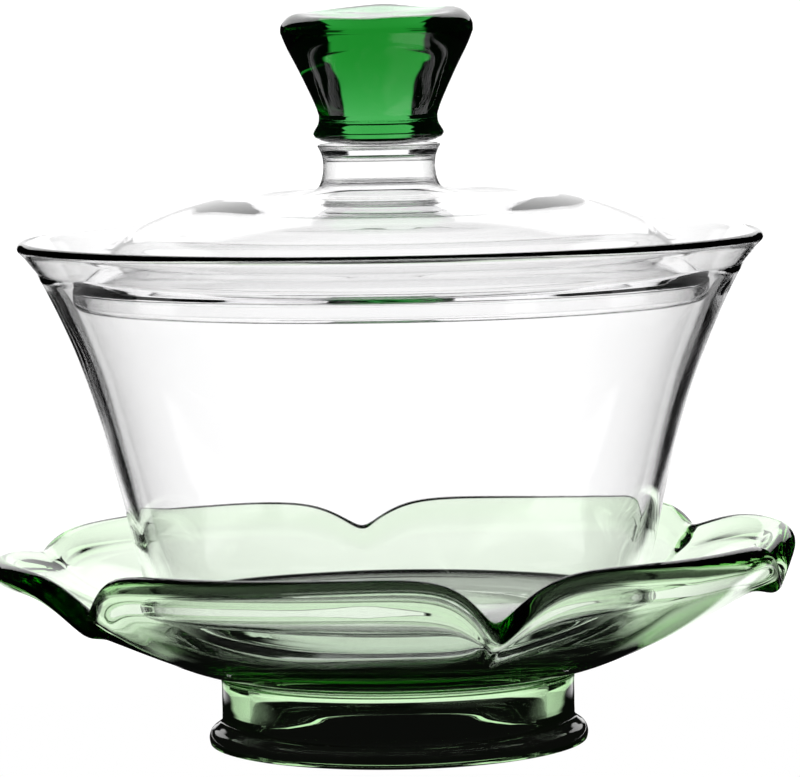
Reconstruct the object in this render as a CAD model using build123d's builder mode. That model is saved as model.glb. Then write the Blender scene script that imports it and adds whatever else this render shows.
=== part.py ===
from build123d import *
import math
import os

# A covered tea bowl in glass: a saucer with six petals, a flared bowl and a domed lid.
# Millimetres, +Z up. The origin is the centre of the saucer's foot, where it stands.
# The first petal notch angles are counted from -Y, the front, towards +X.

# Driving dimensions
bowl_rim_radius = 50.0
saucer_reach = 53.7
total_height = 100.0
foot_radius = 26.0

# Saucer foot ring
foot_height = 9.8
foot_waist_radius = 24.4
foot_top_radius = 25.0
foot_bore_radius = 20.7
foot_bead_radius = 1.1

# Saucer dish
floor_z = 13.5
floor_radius = 27.0
dish_rim_z = 28.4
dish_wall = 2.4
blank_radius = saucer_reach + 1  # the round dish, before its petals are cut
petal_fullness = 2.6
petal_steps = 10
notch_round = 1.6
# one entry per petal: the angle and radius of the notch where it starts, and the reach of its tip
petals = [
    (-56.0, 48.0, 51.6),
    (15.0, 46.0, 51.4),
    (77.0, 50.8, saucer_reach),
    (123.0, 48.0, 51.4),
    (186.0, 46.0, 51.2),
    (253.0, 50.8, saucer_reach),
]

# Bowl
bowl_wall = 2.4
bowl_base_radius = 26.0
bowl_floor_z = 19.5
bowl_floor_radius = 25.0
bowl_rim_z = 67.2
rim_thickness = 1.9
rim_slope = math.radians(29)

# Lid
lid_edge_radius = 43.0
lid_edge_bottom_z = 60.0
lid_wall = 2.1
edge_round = 1.0
dome_top_z = 74.0
neck_radius = 9.3
neck_top_z = 81.3
knob_waist_radius = 8.0
knob_waist_z = 84.5
knob_flare_radius = 12.6
knob_flare_z = 94.6
knob_radius = 13.1
knob_shoulder_z = 96.4
knob_crown_radius = 11.6
knob_crown_z = 98.9
knob_offset = -1.3  # the stem and knob are set by hand, a little off the lid's centre

knob_plane = Plane(origin=(knob_offset, 0, 0), x_dir=(1, 0, 0), z_dir=(0, -1, 0))
knob_axis = Axis((knob_offset, 0, 0), (0, 0, 1))


def petal_points(index):
    """The plan outline of one petal, from the notch where it starts to the next one."""
    start, notch, reach = petals[index]
    end, next_notch, _ = petals[(index + 1) % len(petals)]
    if end < start:
        end += 360
    points = []
    for step in range(petal_steps + 1):
        t = step / petal_steps
        angle = math.radians(start + t * (end - start) - 90)
        bulge = 1 - abs(2 * t - 1) ** petal_fullness
        base = notch + t * (next_notch - notch)
        radius = base + bulge * (reach - base)
        points.append((radius * math.cos(angle), radius * math.sin(angle)))
    return points


with BuildPart() as saucer_foot_ring:
    with BuildSketch(Plane.XZ):
        with BuildLine():
            Line((foot_bore_radius, foot_height), (foot_bore_radius, 0))
            Line((foot_bore_radius, 0), (foot_radius - foot_bead_radius, 0))
            ThreePointArc(
                (foot_radius - foot_bead_radius, 0),
                (foot_radius, foot_bead_radius),
                (foot_radius - foot_bead_radius, 2 * foot_bead_radius),
            )
            Spline(
                (foot_radius - foot_bead_radius, 2 * foot_bead_radius),
                (foot_waist_radius, foot_height / 2),
                (foot_top_radius, foot_height),
            )
            Line((foot_top_radius, foot_height), (foot_bore_radius, foot_height))
        make_face()
    revolve(axis=Axis.Z)
saucer_foot_ring.part.label = "saucer_foot_ring"


with BuildPart() as saucer_dish:
    with BuildSketch(Plane.XZ):
        with BuildLine():
            Line((0, foot_height), (foot_top_radius, foot_height))
            Spline(
                (foot_top_radius, foot_height),
                (35.0, 13.0),
                (46.0, 19.2),
                (51.0, 23.6),
                (blank_radius, dish_rim_z - dish_wall),
            )
            Line((blank_radius, dish_rim_z - dish_wall), (blank_radius, dish_rim_z))
            Spline(
                (blank_radius, dish_rim_z),
                (49.6, 25.9),
                (44.6, 21.6),
                (34.0, 15.6),
                (floor_radius, floor_z),
                tangents=((-0.9, -0.4), (-1, 0)),
            )
            Line((floor_radius, floor_z), (0, floor_z))
            Line((0, floor_z), (0, foot_height))
        make_face()
    revolve(axis=Axis.Z)
    with BuildSketch() as plan:
        with BuildLine():
            for petal_index in range(len(petals)):
                Spline(*petal_points(petal_index))
        make_face()
        fillet(plan.vertices(), radius=notch_round)
    extrude(amount=2 * dish_rim_z, mode=Mode.INTERSECT)
saucer_dish.part.label = "saucer_dish"


rim_outer = (bowl_rim_radius, bowl_rim_z)
rim_inner = (
    bowl_rim_radius - rim_thickness * math.cos(rim_slope),
    bowl_rim_z + rim_thickness * math.sin(rim_slope),
)
rim_crest = (
    (rim_outer[0] + rim_inner[0] + rim_thickness * math.sin(rim_slope)) / 2,
    (rim_outer[1] + rim_inner[1] + rim_thickness * math.cos(rim_slope)) / 2,
)
wall_points = [(48.0, 64.3), (42.6, 53.4), (38.4, 40.3), (36.4, 32.0)]

with BuildPart() as bowl:
    with BuildSketch(Plane.XZ):
        with BuildLine():
            Line((0, floor_z), (bowl_base_radius, floor_z))
            heel = TangentArc((bowl_base_radius, floor_z), (33.4, 20.8), tangent=(1, 0))
            Spline(
                heel @ 1,
                *reversed(wall_points),
                rim_outer,
                tangents=(heel % 1, (math.sin(rim_slope), math.cos(rim_slope))),
            )
            ThreePointArc(rim_outer, rim_crest, rim_inner)
            inner_heel = TangentArc(
                (bowl_floor_radius, bowl_floor_z), (31.6, 26.0), tangent=(1, 0)
            )
            Spline(
                inner_heel @ 1,
                *[(r - bowl_wall, z) for r, z in reversed(wall_points)],
                rim_inner,
                tangents=(inner_heel % 1, (math.sin(rim_slope), math.cos(rim_slope))),
            )
            Line((bowl_floor_radius, bowl_floor_z), (0, bowl_floor_z))
            Line((0, bowl_floor_z), (0, floor_z))
        make_face()
    revolve(axis=Axis.Z)
bowl.part.label = "bowl"


edge_inner_radius = lid_edge_radius - lid_wall
edge_top_z = lid_edge_bottom_z + 3.0

with BuildPart() as lid_dome:
    with BuildSketch(Plane.XZ):
        with BuildLine():
            Line(
                (lid_edge_radius, lid_edge_bottom_z + lid_wall / 2),
                (lid_edge_radius, edge_top_z - edge_round),
            )
            ThreePointArc(
                (lid_edge_radius, edge_top_z - edge_round),
                (lid_edge_radius - 0.3 * edge_round, edge_top_z - 0.3 * edge_round),
                (lid_edge_radius - edge_round, edge_top_z),
            )
            Spline(
                (lid_edge_radius - edge_round, edge_top_z),
                (38.3, 66.4),
                (32.0, 71.0),
                (25.0, 73.2),
                (17.0, dome_top_z),
                tangents=((-1, 0.2), (-1, 0)),
            )
            Line((17.0, dome_top_z), (0, dome_top_z))
            Line((0, dome_top_z), (0, dome_top_z - lid_wall))
            Line((0, dome_top_z - lid_wall), (17.0, dome_top_z - lid_wall))
            Spline(
                (17.0, dome_top_z - lid_wall),
                (24.4, 71.1),
                (30.8, 69.2),
                (36.6, 65.0),
                (edge_inner_radius, lid_edge_bottom_z + lid_wall / 2),
                tangents=((1, 0), (0.1, -1)),
            )
            ThreePointArc(
                (edge_inner_radius, lid_edge_bottom_z + lid_wall / 2),
                (lid_edge_radius - lid_wall / 2, lid_edge_bottom_z),
                (lid_edge_radius, lid_edge_bottom_z + lid_wall / 2),
            )
        make_face()
    revolve(axis=Axis.Z)
lid_dome.part.label = "lid_dome"


with BuildPart() as lid_neck:
    with BuildSketch(knob_plane):
        with BuildLine():
            Line((0, dome_top_z), (neck_radius + 1.6, dome_top_z))
            Spline(
                (neck_radius + 1.6, dome_top_z),
                (neck_radius, dome_top_z + 3.0),
                (neck_radius, neck_top_z),
                tangents=((-1, 0.3), (0, 1)),
            )
            Line((neck_radius, neck_top_z), (0, neck_top_z))
            Line((0, neck_top_z), (0, dome_top_z))
        make_face()
    revolve(axis=knob_axis)
lid_neck.part.label = "lid_neck"


with BuildPart() as lid_knob:
    with BuildSketch(knob_plane):
        with BuildLine():
            Line((0, neck_top_z), (neck_radius, neck_top_z))
            Spline(
                (neck_radius, neck_top_z),
                (knob_waist_radius, knob_waist_z),
                (knob_flare_radius, knob_flare_z),
                tangents=((-0.6, 1), (0.44, 0.9)),
            )
            Spline(
                (knob_flare_radius, knob_flare_z),
                (knob_radius, knob_shoulder_z),
                (knob_crown_radius, knob_crown_z),
                tangents=((0.44, 0.9), (-1, 0.35)),
            )
            Spline(
                (knob_crown_radius, knob_crown_z),
                (0, total_height),
                tangents=((-1, 0.35), (-1, 0)),
            )
            Line((0, total_height), (0, neck_top_z))
        make_face()
    revolve(axis=knob_axis)
lid_knob.part.label = "lid_knob"


os.makedirs("parts", exist_ok=True)
export_step(saucer_foot_ring.part, "parts/saucer_foot_ring.step")
export_step(saucer_dish.part, "parts/saucer_dish.step")
export_step(bowl.part, "parts/bowl.step")
export_step(lid_dome.part, "parts/lid_dome.step")
export_step(lid_neck.part, "parts/lid_neck.step")
export_step(lid_knob.part, "parts/lid_knob.step")
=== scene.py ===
import math

import bpy
from mathutils import Matrix, Vector, noise


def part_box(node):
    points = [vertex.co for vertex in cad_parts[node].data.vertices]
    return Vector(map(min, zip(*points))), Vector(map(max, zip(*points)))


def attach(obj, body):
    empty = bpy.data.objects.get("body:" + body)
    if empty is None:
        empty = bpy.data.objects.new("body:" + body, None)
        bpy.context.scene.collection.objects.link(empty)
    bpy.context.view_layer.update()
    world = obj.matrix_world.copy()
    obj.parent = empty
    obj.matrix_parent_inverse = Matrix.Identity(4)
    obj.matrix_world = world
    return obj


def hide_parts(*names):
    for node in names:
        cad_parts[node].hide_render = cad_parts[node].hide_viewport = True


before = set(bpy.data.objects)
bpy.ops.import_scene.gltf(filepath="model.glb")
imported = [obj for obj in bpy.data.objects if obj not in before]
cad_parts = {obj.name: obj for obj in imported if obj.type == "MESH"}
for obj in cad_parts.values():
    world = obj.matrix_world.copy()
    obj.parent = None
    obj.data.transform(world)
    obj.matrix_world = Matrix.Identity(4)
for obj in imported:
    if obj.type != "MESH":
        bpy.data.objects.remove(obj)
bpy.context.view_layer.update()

# A glass gaiwan: a petalled green saucer on a hollow foot, a clear flared bowl, and a clear
# domed lid with a deep green knob. Profiles are (radius, height) points, worked out in
# millimetres and built in metres. Angles round the vertical axis are counted from the front,
# -Y, towards +X.

MM = 0.001
SEGMENTS = 288  # round a turned piece
ON_AXIS = 0.01  # a smaller radius than this is a single point
SAME_POINT = 0.01


def node_box(node):
    """The lowest and highest corner of a CAD node, in millimetres."""
    low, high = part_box(node)
    return Vector(low) / MM, Vector(high) / MM


_, ring_high = node_box("saucer_foot_ring")
bowl_low, bowl_high = node_box("bowl")
dome_low, dome_high = node_box("lid_dome")
neck_low, neck_high = node_box("lid_neck")
knob_low, knob_high = node_box("lid_knob")


# ---------------------------------------------------------------- curves and meshes


def through(points, steps):
    """A smooth curve through the points, as a list, its ends included."""
    ends = [2 * Vector(points[0]) - Vector(points[1]), 2 * Vector(points[-1]) - Vector(points[-2])]
    knots = [ends[0], *map(Vector, points), ends[1]]
    curve = []
    for a, b, c, d in zip(knots, knots[1:], knots[2:], knots[3:]):
        t1 = (b - a).length ** 0.5
        t2 = t1 + (c - b).length ** 0.5
        t3 = t2 + (d - c).length ** 0.5
        for step in range(steps):
            t = t1 + (t2 - t1) * step / steps
            ab = a.lerp(b, t / t1)
            bc = b.lerp(c, (t - t1) / (t2 - t1))
            cd = c.lerp(d, (t - t2) / (t3 - t2))
            abc = ab.lerp(bc, t / t2)
            bcd = bc.lerp(cd, (t - t1) / (t3 - t1))
            curve.append(tuple(abc.lerp(bcd, (t - t1) / (t2 - t1))))
    curve.append(tuple(points[-1]))
    return curve


def arc(centre, radius, start, end, steps=10):
    """Points of a circle's arc; its angles are in degrees from the +r direction."""
    points = []
    for step in range(steps + 1):
        angle = math.radians(start + (end - start) * step / steps)
        points.append((centre[0] + radius * math.cos(angle), centre[1] + radius * math.sin(angle)))
    return points


def line(start, end, steps=6):
    """Evenly spaced points from start to end, both included."""
    return [tuple(Vector(start).lerp(Vector(end), step / steps)) for step in range(steps + 1)]


def chain(*runs):
    """Joins runs of points end to end, without the repeated ones."""
    points = []
    for run in runs:
        for point in run:
            if not points or (Vector(point) - Vector(points[-1])).length > SAME_POINT:
                points.append(tuple(point))
    return points


def soft_step(value, low, high):
    """0 below low and 1 above high, smooth between."""
    t = min(1.0, max(0.0, (value - low) / (high - low)))
    return t * t * (3 - 2 * t)


def skin(name, rings):
    """A closed mesh over rings of points in millimetres; the first and last ring are one point."""
    vertices, starts = [], []
    for ring in rings:
        starts.append(len(vertices))
        vertices.extend(Vector(point) * MM for point in ring)
    faces = []
    for (a, ring_a), (b, ring_b) in zip(zip(starts, rings), zip(starts[1:], rings[1:])):
        count = max(len(ring_a), len(ring_b))
        for i in range(count):
            j = (i + 1) % count
            if len(ring_a) == 1:
                faces.append((a, b + j, b + i))
            elif len(ring_b) == 1:
                faces.append((a + i, a + j, b))
            else:
                faces.append((a + i, a + j, b + j, b + i))
    mesh = bpy.data.meshes.new(name)
    mesh.from_pydata(vertices, [], faces)
    mesh.validate()
    mesh.shade_smooth()
    piece = bpy.data.objects.new(name, mesh)
    bpy.context.scene.collection.objects.link(piece)
    return piece


WAVE_FULL_RADIUS = 20  # the wave fades out nearer the axis than this
WAVE_ROUND = 0.9  # how fast the wave changes round the piece
WAVE_UP = 0.035  # and with height, per millimetre


def turned(name, profile, wave, seed, shift=None):
    """A piece turned about the vertical axis from its profile, with a slight wave in its radius.

    shift gives how far a ring is moved along X, from its radius and height.
    """
    rings = []
    for r, z in profile:
        aside = shift(r, z) if shift else 0.0
        if r < ON_AXIS:
            rings.append([(aside, 0, z)])
            continue
        ring = []
        for index in range(SEGMENTS):
            angle = 2 * math.pi * index / SEGMENTS
            x, y = math.sin(angle), -math.cos(angle)
            ripple = noise.noise(Vector((x * WAVE_ROUND + seed, y * WAVE_ROUND, z * WAVE_UP)))
            grown = r + wave * ripple * min(1.0, r / WAVE_FULL_RADIUS)
            ring.append((aside + grown * x, grown * y, z))
        rings.append(ring)
    return skin(name, rings)


# ---------------------------------------------------------------- the saucer

FLOOR_Z = bowl_low.z
FLOOR_RADIUS = 27.0
PETAL_SAMPLES = 76
NOTCH_CROWDING = 0.7  # how much closer the samples lie to the notches than to the tips

# one row per petal: the angle, radius and height of the notch where it starts, the reach of its
# tip, and the height of its edge near its start and near its end
PETALS = [
    (-56.0, 47.6, 19.9, 51.2, 26.2, 26.9),
    (16.0, 45.8, 20.3, 52.3, 27.2, 26.6),
    (78.5, 51.0, 22.0, 53.6, 25.6, 26.8),
    (120.0, 47.8, 24.0, 51.2, 26.6, 25.9),
    (186.3, 45.8, 22.4, 51.4, 25.8, 25.2),
    (253.5, 50.4, 23.2, 53.3, 24.2, 25.3),
]
NOTCH_ROUNDING = 0.8  # degrees
BULGE_SPREAD, BULGE_POWER = 9, 1.15  # how soon an edge reaches out from its notch, in degrees
RISE_SPREAD, RISE_POWER = 5.5, 1.35  # how soon it rises


def petal_edge(index, t):
    """The angle, radius and height of a petal's edge at t, from its first notch to its last."""
    start, radius_a, height_a, reach, crest_a, crest_b = PETALS[index]
    end, radius_b, height_b = PETALS[(index + 1) % len(PETALS)][:3]
    if end < start:
        end += 360
    from_notch = (end - start) * min(t, 1 - t)
    from_notch = math.hypot(from_notch, NOTCH_ROUNDING) - NOTCH_ROUNDING
    bulge = 1 - math.exp(-((from_notch / BULGE_SPREAD) ** BULGE_POWER))
    rise = 1 - math.exp(-((from_notch / RISE_SPREAD) ** RISE_POWER))
    radius = radius_a + t * (radius_b - radius_a)
    radius += bulge * (reach - radius)
    height = height_a + t * (height_b - height_a)
    height += rise * (crest_a + t * (crest_b - crest_a) - height)
    return start + t * (end - start), radius, height


def dish_base(r, angle):
    """The height of the dish's middle surface before its petals are lifted; fuller at its sides."""
    out = r - FLOOR_RADIUS
    side = soft_step(abs(math.sin(math.radians(angle))), 0.70, 0.97)
    return FLOOR_Z - 1.55 + 0.26 * out + (0.0070 + 0.0035 * side) * out * out


DISH_SAMPLES = 44  # from the dish's floor to its edge
DISH_WALL = 2.2
FLOOR_EXTRA = 0.6  # more thickness by the floor
ROLL_EXTRA = 1.0  # and at the fire-polished edge
LIFT_POWER = 4.5  # the petals lift mostly near their edges
DROOP = 3.4  # the right-hand tip curls down by this
DROOP_ANGLE, DROOP_SPREAD = 82, 5.5
DROOP_START = 0.78  # along the section
EDGE_STEPS = 12


def dish_section(angle, radius, height):
    """Underside, edge and top of the dish at one angle, as (radius, height) points."""
    lift = height - dish_base(radius, angle)
    droop = DROOP * math.exp(-(((angle - DROOP_ANGLE) / DROOP_SPREAD) ** 2))
    middle = []
    for step in range(DISH_SAMPLES + 1):
        s = step / DISH_SAMPLES
        r = FLOOR_RADIUS + s * (radius - FLOOR_RADIUS)
        curled = droop * max(0.0, (s - DROOP_START) / (1 - DROOP_START)) ** 2
        z = dish_base(r, angle) + (lift + droop) * s**LIFT_POWER - curled
        middle.append(Vector((r, z)))
    under, top = [], []
    for step, point in enumerate(middle):
        s = step / DISH_SAMPLES
        along = middle[min(step + 1, DISH_SAMPLES)] - middle[max(step - 1, 0)]
        across = Vector((-along.y, along.x)).normalized()
        thick = DISH_WALL + FLOOR_EXTRA * (1 - soft_step(s, 0, 0.3))
        thick += ROLL_EXTRA * soft_step(s, 0.87, 1)
        under.append(point - across * thick / 2)
        top.append(point + across * thick / 2)
    forward = (middle[-1] - middle[-2]).normalized()
    across = Vector((-forward.y, forward.x))
    half = (top[-1] - under[-1]).length / 2
    edge = []
    for step in range(1, EDGE_STEPS):
        turn = math.pi * (step / EDGE_STEPS - 0.5)
        edge.append(middle[-1] + half * (forward * math.cos(turn) + across * math.sin(turn)))
    return under + edge + top[::-1]


UNEVEN_OUT = 0.25
UNEVEN_UP = 0.35


def around(r, z, degrees):
    """A point at that radius and height, with the slight unevenness of hand-shaped glass."""
    angle = math.radians(degrees)
    x, y = math.sin(angle), -math.cos(angle)
    uneven = soft_step(r, 30, 46)
    wave = noise.noise(Vector((x * 1.7 + 3, y * 1.7, r * 0.05)))
    out = r + UNEVEN_OUT * uneven * wave
    return (out * x, out * y, z + UNEVEN_UP * uneven * wave)


def foot_profile():
    """The foot from the middle of its hollow, down the bore, and up the outside to the dish."""
    bead = ring_high.x - 0.3
    wall = 23.9
    bore = 20.2
    ceiling = ring_high.z + 1.2
    corner = 0.9
    lip = 19.3
    bore_low = 3.4
    return chain(
        line((0, ceiling), (bore - 1.2, ceiling), 8),
        arc((bore - corner, ceiling - corner), corner, 90, 0),
        line((bore, ceiling - corner), (bore, bore_low), 8),
        through([(bore, bore_low), (20.05, 2.6), (19.7, 1.6), (19.2, 0.6), (lip, 0)], 5),
        line((lip, 0), (bead - 0.15, 0)),
        through(
            [
                (bead - 0.15, 0),
                (bead - 0.04, 0.45),
                (bead, 0.95),
                (bead - 0.3, 1.75),
                (bead - 1.0, 2.3),
                (wall + 0.1, 3.0),
                (wall, 4.0),
                (wall, 6.0),
                (wall, 8.0),
                (wall + 0.2, 9.2),
                (wall + 0.8, 10.1),
                (wall + 1.9, 10.45),
            ],
            7,
        ),
    )


def make_saucer():
    """The dish and its foot in one glass, as they are fused."""
    samples = []
    for index in range(len(PETALS)):
        for step in range(PETAL_SAMPLES):
            t = step / PETAL_SAMPLES
            t -= NOTCH_CROWDING * math.sin(2 * math.pi * t) / (2 * math.pi)
            samples.append(petal_edge(index, t))
    angles = [angle for angle, _, _ in samples]
    sections = [dish_section(*sample) for sample in samples]
    rings = []
    for r, z in foot_profile():
        rings.append([(0, 0, z)] if r < ON_AXIS else [around(r, z, angle) for angle in angles])
    for level in range(len(sections[0])):
        rings.append([around(*section[level], angle) for angle, section in zip(angles, sections)])
    for r in (24.0, 20.0, 15.0, 10.0, 5.0):
        rings.append([around(r, FLOOR_Z, angle) for angle in angles])
    rings.append([(0, 0, FLOOR_Z)])
    return skin("saucer_glass", rings)


# ---------------------------------------------------------------- the bowl and the lid


def make_bowl():
    """Thick-based flared bowl with a fire-polished rim."""
    gap = 0.12  # between the bowl and the saucer it stands on
    rim = bowl_high.x
    top = bowl_high.z
    base = bowl_low.z + gap
    thick = 1.75
    wall = [
        (33.6, base + 7.2),
        (35.2, base + 13.0),
        (36.6, base + 19.5),
        (38.4, base + 26.7),
        (40.3, base + 33.3),
        (42.6, base + 39.8),
        (45.5, base + 46.4),
        (47.6, base + 50.6),
    ]
    inner = [(r - thick, z) for r, z in wall]
    bead = 0.85
    flare = 29  # degrees, the slope of the rim's flare
    slope = math.radians(flare)
    centre = (rim - bead, top - bead)
    bead_outside = (centre[0] + bead * math.cos(slope), centre[1] - bead * math.sin(slope))
    bead_inside = (centre[0] - bead * math.cos(slope), centre[1] + bead * math.sin(slope))
    profile = chain(
        line((0, base + 0.5), (17, base + 0.5), 8),
        through([(17, base + 0.5), (20, base + 0.1), (22, base), (26.3, base)], 4),
        through([(26.3, base), (29.4, base + 0.7), (31.8, base + 2.9), *wall], 8),
        through([wall[-1], bead_outside], 6),
        arc(centre, bead, -flare, 180 - flare, 14),
        through([bead_inside, inner[-1]], 6),
        through(
            [
                *inner[:0:-1],
                (32.2, base + 8.6),
                (31.2, base + 6.4),
                (30.3, base + 5.4),
                (28.9, base + 5.05),
                (26, base + 5),
            ],
            8,
        ),
        line((26, base + 5), (0, base + 5), 10),
    )
    return turned("bowl_glass", profile, wave=0.25, seed=1.7)


def make_lid():
    """The dome and its hollow stem in one clear glass, as they are blown."""
    reach = dome_high.x
    low = dome_low.z
    top = dome_high.z
    aside = (neck_low.x + neck_high.x) / 2
    stem = 7.6
    collar = neck_high.z - 1.0
    flange = 8.3
    seat = 1.6  # how far in from the stem's wall the knob's seat reaches
    roof = 0.6  # the glass over the hollow of the stem
    rim = 1.7  # the thickness of the turned-down rim

    def shift(r, z):
        """The stem stands a little to one side of the dome's middle."""
        return aside * soft_step(-r, -17, -11.5) * soft_step(z, top - 2.5, top - 0.4)

    inside = [
        (stem - 0.3, collar - 0.9),
        (stem - 0.12, top + 4.4),
        (stem - 0.02, top + 2.6),
        (stem + 0.6, top + 0.85),
        (stem + 2.5, top - 0.2),
        (14.0, top - 0.9),
        (17.5, top - 1.45),
        (21.5, 72.15),
        (26.4, 71.3),
        (33.0, 68.7),
        (36.4, 66.4),
        (38.6, 64.7),
        (40.3, 63.15),
        (reach - 1.95, 62.5),
    ]
    outside = [
        (reach - 0.6, low + 4.1),
        (39.0, 67.1),
        (36.6, 68.5),
        (33.2, 70.5),
        (26.4, 73.0),
        (21.5, 74.0),
        (17.8, top + 0.2),
        (14.0, top + 0.1),
        (stem + 2.6, top + 0.25),
        (stem + 0.75, top + 1.1),
        (stem + 0.1, top + 2.7),
        (stem, top + 4.2),
        (stem + 0.1, collar - 1.2),
        (stem + 0.4, collar - 0.4),
        (flange, collar + 0.2),
    ]
    flange_top = [
        (flange - 0.3, collar + 0.48),
        (stem + 0.2, collar + 0.1),
        (stem - seat, collar),
    ]
    profile = chain(
        line((0, collar - roof), (6.6, collar - roof), 8),
        through([(6.6, collar - roof), *inside], 7),
        line((reach - rim, 62.2), (reach - rim, low + 0.9), 6),
        arc((reach - rim / 2, low + 0.86), rim / 2, 180, 360, 14),
        line((reach, low + 1.0), (reach, low + 3.45), 6),
        through(outside, 8),
        arc((flange - 0.2, collar + 0.3), 0.2, -40, 100, 8),
        through(flange_top, 6),
        line((stem - seat, collar), (0, collar), 6),
    )
    return turned("lid_glass", profile, wave=0.35, seed=5.1, shift=shift)


def make_knob():
    """Solid knob: a short foot, a narrow waist and a wide flare with a soft, uneven crown."""
    aside = (knob_low.x + knob_high.x) / 2
    low = knob_low.z
    reach = (knob_high.x - knob_low.x) / 2
    underside = [
        (0, low - 0.75),
        (3.0, low - 0.68),
        (5.8, low - 0.4),
        (7.8, low + 0.05),
        (8.6, low + 0.45),
    ]
    foot = [(8.6, low + 0.45), (8.8, low + 1.0), (8.1, low + 2.4), (8.0, low + 3.4)]
    flare = [
        (8.0, low + 3.4),
        (8.4, low + 4.6),
        (10.4, low + 9.0),
        (12.2, low + 12.6),
        (reach - 0.1, low + 14.6),
    ]
    crown = [
        (reach - 0.1, low + 14.6),
        (reach - 0.2, low + 15.5),
        (reach - 1.1, low + 16.6),
        (reach - 2.2, low + 17.1),
        (8.5, low + 17.0),
        (4.5, low + 16.85),
        (0, low + 16.8),
    ]
    profile = chain(through(underside, 6), through(foot, 7), through(flare, 8), through(crown, 9))
    knob = turned("knob_glass", profile, wave=0.3, seed=8.2, shift=lambda r, z: aside)
    tilt_right, tilt_back, dented = 0.35, 1.0, 0.5
    for vertex in knob.data.vertices:
        across = (vertex.co.x / MM - aside) / reach
        back = vertex.co.y / MM / reach
        high = soft_step(vertex.co.z / MM, low + 14.2, low + 17)
        dent = noise.noise(Vector((across * 1.6, back * 1.6, 2.5)))
        vertex.co.z += MM * high * (tilt_right * across + tilt_back * back + dented * dent)
    return knob


# ---------------------------------------------------------------- materials


def glass(name, tint, density, ripple=0.02):
    """Clear or coloured glass: its colour comes from the depth of glass that light crosses."""
    material = bpy.data.materials.new(name)
    material.use_nodes = True
    tree = material.node_tree
    shader = tree.nodes["Principled BSDF"]
    shader.inputs["Base Color"].default_value = (1, 1, 1, 1)
    shader.inputs["Transmission Weight"].default_value = 1.0
    shader.inputs["Roughness"].default_value = 0.0
    shader.inputs["IOR"].default_value = 1.48
    place = tree.nodes.new("ShaderNodeTexCoord")
    waves = tree.nodes.new("ShaderNodeTexNoise")
    waves.inputs["Scale"].default_value = 55
    waves.inputs["Detail"].default_value = 1.0
    bump = tree.nodes.new("ShaderNodeBump")
    bump.inputs["Strength"].default_value = ripple
    bump.inputs["Distance"].default_value = 0.004
    tree.links.new(place.outputs["Object"], waves.inputs["Vector"])
    tree.links.new(waves.outputs["Fac"], bump.inputs["Height"])
    tree.links.new(bump.outputs["Normal"], shader.inputs["Normal"])
    depth = tree.nodes.new("ShaderNodeVolumeAbsorption")
    depth.inputs["Color"].default_value = (*tint, 1)
    depth.inputs["Density"].default_value = density
    tree.links.new(depth.outputs["Volume"], tree.nodes["Material Output"].inputs["Volume"])
    return material


# ---------------------------------------------------------------- the studio


def maths(tree, operation, first, second=0.0, third=0.0):
    """A Math node; each input is a socket or a number."""
    node = tree.nodes.new("ShaderNodeMath")
    node.operation = operation
    for socket, value in zip(node.inputs, (first, second, third)):
        if isinstance(value, bpy.types.NodeSocket):
            tree.links.new(value, socket)
        else:
            socket.default_value = value
    return node.outputs[0]


def smooth(tree, value, low, high):
    """0 below low and 1 above high, smooth between; low may be the larger."""
    node = tree.nodes.new("ShaderNodeMapRange")
    node.interpolation_type = "SMOOTHSTEP"
    node.inputs["From Min"].default_value = low
    node.inputs["From Max"].default_value = high
    tree.links.new(value, node.inputs["Value"])
    return node.outputs["Result"]


def between(tree, value, low, high, soft):
    """1 where value lies between low and high, 0 outside, with soft ends."""
    rising = smooth(tree, value, low - soft, low + soft)
    falling = smooth(tree, value, high + soft, high - soft)
    return maths(tree, "MULTIPLY", rising, falling)


def brightest(tree, levels):
    """The largest of the levels."""
    result = levels[0]
    for level in levels[1:]:
        result = maths(tree, "MAXIMUM", result, level)
    return result


# Compass angles are counted from +Y, behind the object, towards +X.
# Bright panels round the horizon: compass angle and half width in degrees, brightness, and the
# sine of the elevation of the top edge. The first is the backdrop. The others only shine through
# the glass: most are for someone who walks round it, and the last widens the backdrop low down.
PANELS = [
    (0, 12, 1.2, 0.66),
    (90, 10, 1.15, 0.25),
    (-90, 10, 1.15, 0.25),
    (146, 10, 1.15, 0.30),
    (0, 20, 1.15, 0.14),
]
PANEL_WIDENING = 13  # degrees, higher up
PANEL_EDGE = 0.025  # radians
PANEL_TOP_EDGE = 0.03

# Bright strips of the table: compass angle in degrees, then in metres the half width, its growth
# per metre, the start and the end, and then the brightness. The first belongs to the backdrop.
STRIPS = [
    (0, 0.080, 0.13, 0.034, 2.0, 1.2),
    (90, 0.070, 0.06, 0.15, 2.0, 1.15),
    (-90, 0.070, 0.06, 0.15, 2.0, 1.15),
    (0, 0.020, 0.36, 0.37, 2.0, 1.15),
    (-45, 0.040, 0.0, 0.03, 0.115, 0.85),
    (45, 0.035, 0.0, 0.03, 0.08, 0.75),
    (135, 0.070, 0.0, 0.10, 0.8, 1.15),
    (135, 0.050, 0.0, 0.066, 0.11, 0.3),
]
STRIP_EDGE = 0.006
STRIP_END = 0.008
DARK = 0.004  # everywhere else

TABLE_RADIUS = 1.6
# The table is a hair above the lowest point of the foot, so that no gap shines under it.
TABLE_CONTACT = 0.0001


def lit(tree, shine, backdrop, through_glass):
    """White to the eye; the backdrop in reflections; every panel or strip through the glass."""
    path = tree.nodes.new("ShaderNodeLightPath")
    around_it = maths(tree, "MULTIPLY", through_glass, path.outputs["Is Transmission Ray"])
    level = maths(tree, "MAXIMUM", maths(tree, "MAXIMUM", backdrop, around_it), DARK)
    seen = maths(tree, "MAXIMUM", path.outputs["Is Camera Ray"], level)
    tree.links.new(seen, shine)


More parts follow.
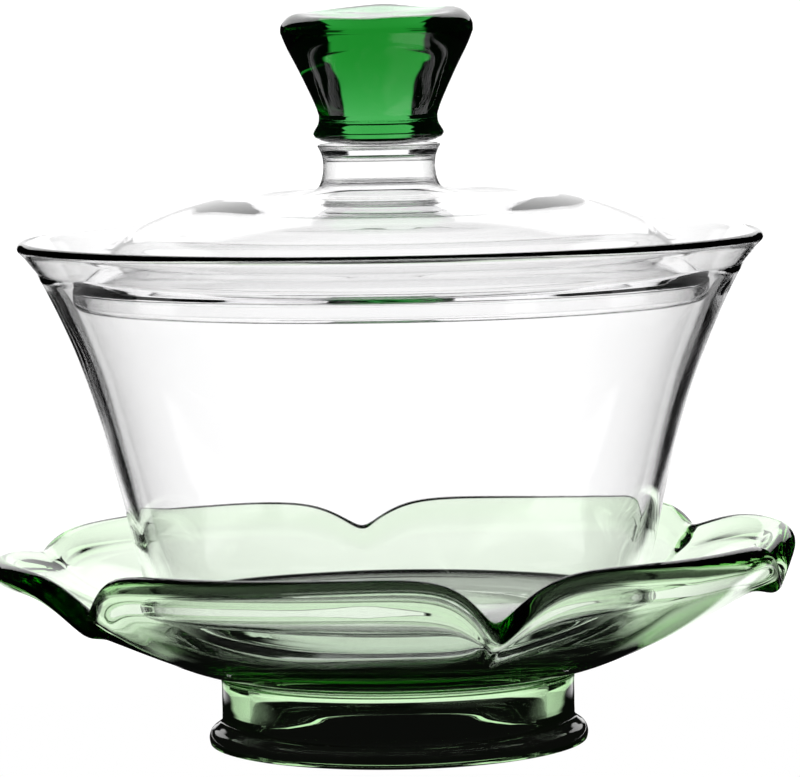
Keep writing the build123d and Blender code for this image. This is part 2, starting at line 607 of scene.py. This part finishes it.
def split_place(tree, output):
    """The X, Y and Z sockets of one output of the Texture Coordinate node."""
    place = tree.nodes.new("ShaderNodeTexCoord")
    split = tree.nodes.new("ShaderNodeSeparateXYZ")
    tree.links.new(place.outputs[output], split.inputs[0])
    return split.outputs


def make_world():
    world = bpy.data.worlds.new("studio")
    world.use_nodes = True
    bpy.context.scene.world = world
    tree = world.node_tree
    background = tree.nodes["Background"]
    background.inputs["Color"].default_value = (1, 1, 1, 1)
    x, y, z = split_place(tree, "Generated")
    compass = maths(tree, "ARCTAN2", x, y)
    levels = []
    for angle, half_width, brightness, top in PANELS:
        turned_by = maths(tree, "SUBTRACT", compass, math.radians(angle))
        away = maths(tree, "ABSOLUTE", maths(tree, "WRAP", turned_by, math.pi, -math.pi))
        higher = smooth(tree, z, 0.12, 0.25)
        wider = maths(tree, "MULTIPLY", higher, math.radians(PANEL_WIDENING))
        half = maths(tree, "ADD", wider, math.radians(half_width))
        inside = maths(tree, "SUBTRACT", half, away)
        across = smooth(tree, inside, -PANEL_EDGE, PANEL_EDGE)
        upright = smooth(tree, z, top + PANEL_TOP_EDGE, top - PANEL_TOP_EDGE)
        shape = maths(tree, "MULTIPLY", across, upright)
        levels.append(maths(tree, "MULTIPLY", shape, brightness))
    lit(tree, background.inputs["Strength"], levels[0], brightest(tree, levels[1:]))


def make_floor():
    """A pale table. Light that comes through the glass sees it lit in strips, and dark between."""
    bpy.ops.mesh.primitive_circle_add(vertices=96, radius=TABLE_RADIUS, fill_type="NGON")
    floor = bpy.context.object
    floor.name = "floor"
    floor.location.z = TABLE_CONTACT
    material = bpy.data.materials.new("pale_floor")
    material.use_nodes = True
    tree = material.node_tree
    tree.nodes.remove(tree.nodes["Principled BSDF"])
    light = tree.nodes.new("ShaderNodeEmission")
    tree.links.new(light.outputs[0], tree.nodes["Material Output"].inputs["Surface"])
    x, y, _ = split_place(tree, "Object")
    levels = []
    for angle, half_width, growth, start, end, brightness in STRIPS:
        turn = math.radians(angle)
        aside = maths(tree, "MULTIPLY", y, math.sin(turn))
        side = maths(tree, "SUBTRACT", maths(tree, "MULTIPLY", x, math.cos(turn)), aside)
        forward = maths(tree, "MULTIPLY", y, math.cos(turn))
        ahead = maths(tree, "MULTIPLY_ADD", x, math.sin(turn), forward)
        half = maths(tree, "MULTIPLY_ADD", ahead, growth, half_width)
        inside = maths(tree, "SUBTRACT", half, maths(tree, "ABSOLUTE", side))
        across = smooth(tree, inside, -STRIP_EDGE, STRIP_EDGE)
        along = between(tree, ahead, start, end, STRIP_END)
        shape = maths(tree, "MULTIPLY", across, along)
        levels.append(maths(tree, "MULTIPLY", shape, brightness))
    # painted shade: the table's glow, as seen in reflections and through the glass, is darkened
    # inside the foot and just behind it
    shade_middle, shade_stretch, shade_inner, shade_outer = 0.030, 0.75, 0.034, 0.040
    back = maths(tree, "MULTIPLY", maths(tree, "SUBTRACT", y, shade_middle), shade_stretch)
    squared = maths(tree, "MULTIPLY_ADD", x, x, maths(tree, "MULTIPLY", back, back))
    outside_painted_shade = smooth(tree, maths(tree, "SQRT", squared), shade_inner, shade_outer)
    main = maths(tree, "MULTIPLY", levels[0], outside_painted_shade)
    rest = maths(tree, "MULTIPLY", brightest(tree, levels[1:]), outside_painted_shade)
    lit(tree, light.inputs["Strength"], main, rest)
    floor.data.materials.append(material)


LENS = 208.2
CAMERA_PLACE = (0.98, -622, 103.1)  # millimetres
CAMERA_DOWN = 5.088  # degrees below level
CAMERA_ROLL = 1.03


def make_camera():
    data = bpy.data.cameras.new("camera")
    data.lens = LENS
    data.clip_start = 0.01
    data.clip_end = 20
    camera = bpy.data.objects.new("camera", data)
    bpy.context.scene.collection.objects.link(camera)
    place = Matrix.Translation([length * MM for length in CAMERA_PLACE])
    tilt = Matrix.Rotation(math.radians(90 - CAMERA_DOWN), 4, "X")
    roll = Matrix.Rotation(math.radians(-CAMERA_ROLL), 4, "Z")
    camera.matrix_world = place @ tilt @ roll
    bpy.context.scene.camera = camera


# ---------------------------------------------------------------- assembly

clear = glass("clear_glass", (0.80, 0.76, 0.86), 8)
green = glass("green_glass", (0.28, 0.80, 0.10), 80, ripple=0.03)
deep_green = glass("deep_green_glass", (0.06, 0.69, 0.20), 190)

saucer = make_saucer()
saucer.data.materials.append(green)
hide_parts("saucer_dish", "saucer_foot_ring")
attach(saucer, "saucer")

bowl = make_bowl()
bowl.data.materials.append(clear)
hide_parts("bowl")
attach(bowl, "bowl")

lid = make_lid()
lid.data.materials.append(clear)
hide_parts("lid_dome", "lid_neck")
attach(lid, "lid")

knob = make_knob()
knob.data.materials.append(deep_green)
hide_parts("lid_knob")
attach(knob, "lid")

make_world()
make_floor()
make_camera()

scene = bpy.context.scene
scene.view_settings.view_transform = "Standard"
scene.cycles.max_bounces = 32
scene.cycles.transmission_bounces = 32
scene.cycles.glossy_bounces = 12
